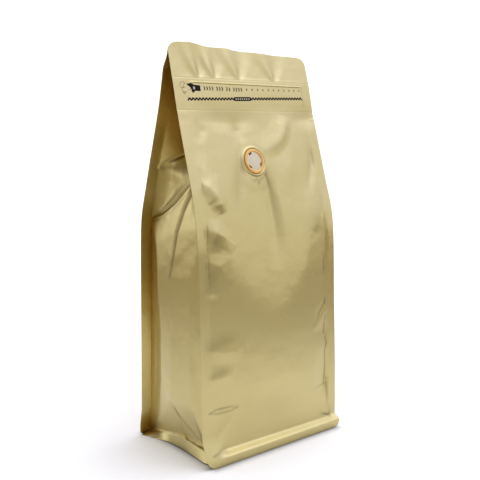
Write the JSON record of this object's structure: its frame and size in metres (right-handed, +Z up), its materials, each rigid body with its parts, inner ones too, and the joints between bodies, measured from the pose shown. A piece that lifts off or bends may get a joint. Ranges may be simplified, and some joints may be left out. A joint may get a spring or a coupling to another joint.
{
  "type": "flat-bottom coffee pouch",
  "caption": "Filled, shut flat-bottom film pouch with sealed edge fins, folded side gussets, a bottom skirt, a pull-tab zip strip and a round one-way gas valve.",
  "frame": {"origin": "centre of the flat bottom, at the level that the pouch stands on", "axes": "+Z up, the printed front with the valve faces -Y, +X to the right of someone facing the front"},
  "size_m": [0.14, 0.0948, 0.316],
  "materials": {
    "film": "matte-satin champagne-gold metallised film, softly creased",
    "strip_film": null,
    "ring": "amber, satin",
    "cap": "pale beige, fine matte"
  },
  "bodies": {
    "root": {"pouch": "film", "tear_strip": "strip_film", "valve_ring": "ring", "valve_cap": "cap"}
  },
  "joints": []
}
